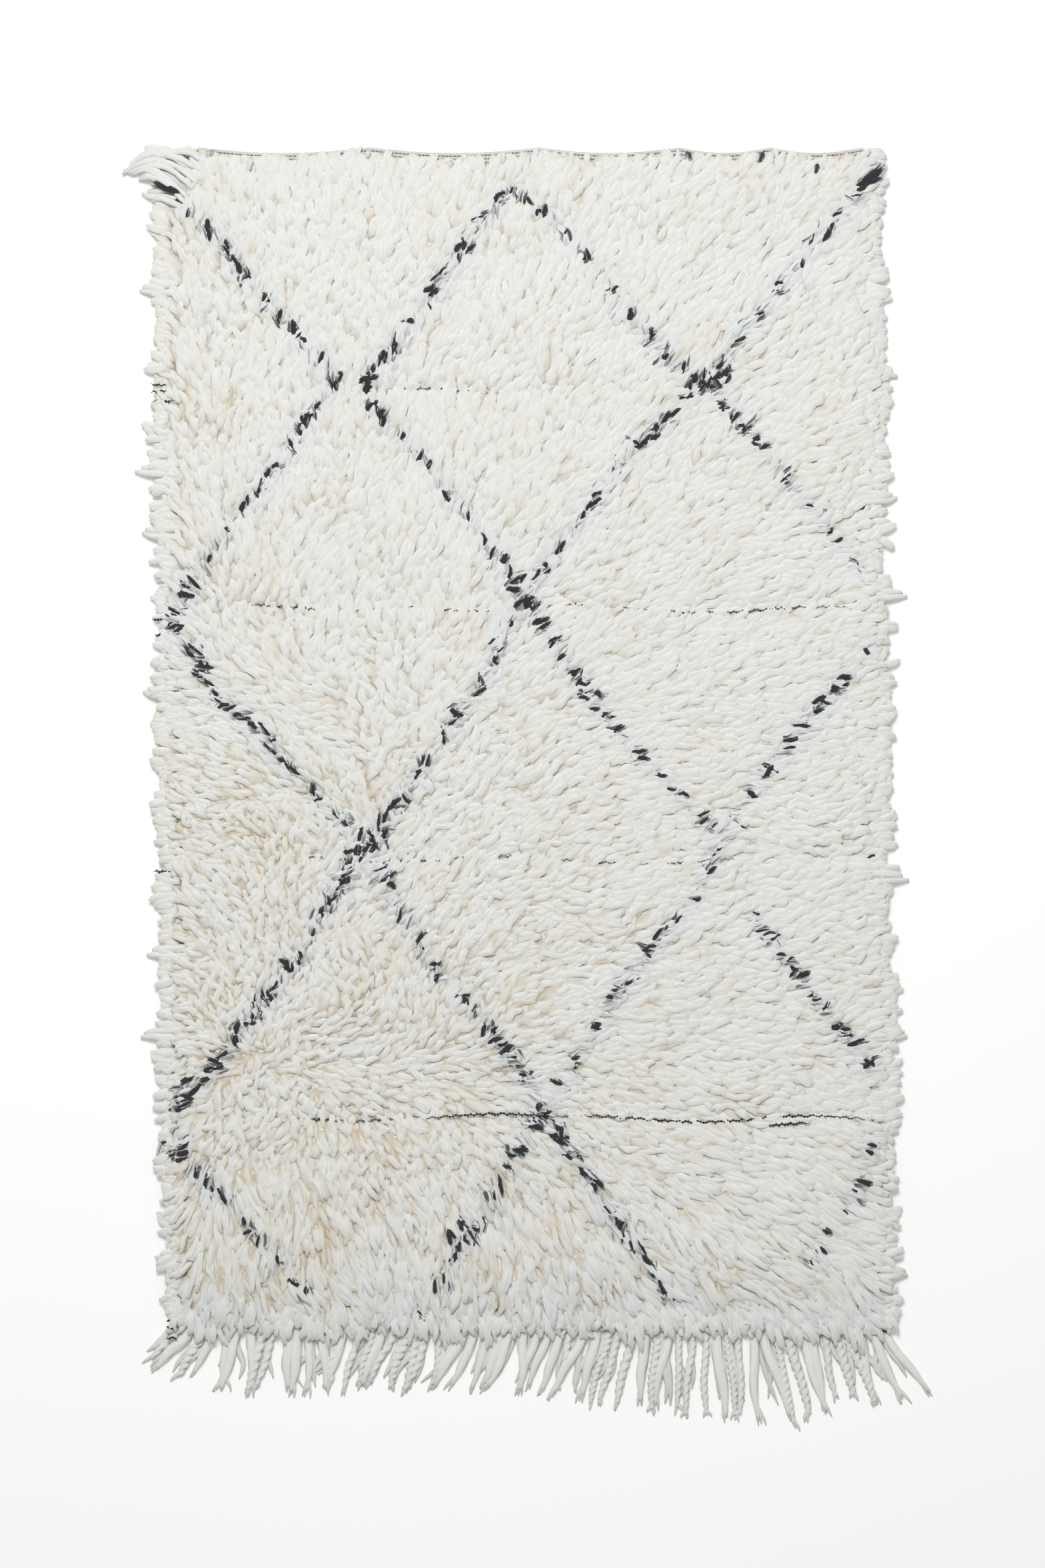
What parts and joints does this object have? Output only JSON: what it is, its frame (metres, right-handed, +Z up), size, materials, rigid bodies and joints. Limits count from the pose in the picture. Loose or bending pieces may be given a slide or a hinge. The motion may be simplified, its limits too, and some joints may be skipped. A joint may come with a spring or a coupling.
{
  "type": "beni ourain rug",
  "caption": "Hand-knotted ivory shag rug with a dark diamond lattice, a plain woven band at one end and a fringe of twisted cords at the other.",
  "frame": {"origin": "on the floor, under the middle of the whole rug's bounding box, fringe included", "axes": "+Z up from the floor; +Y towards the plain woven band, -Y towards the fringe; +X across the rug"},
  "size_m": [1.0796, 1.7204, 0.0342],
  "materials": {
    "ivory_wool": "matt ivory wool pile with a line lattice of near-black knots",
    "warp_wool": "matt off-white wool warp, plied and twisted into cords"
  },
  "bodies": {
    "root": {"rug": "ivory_wool", "fringe": "warp_wool"}
  },
  "joints": []
}
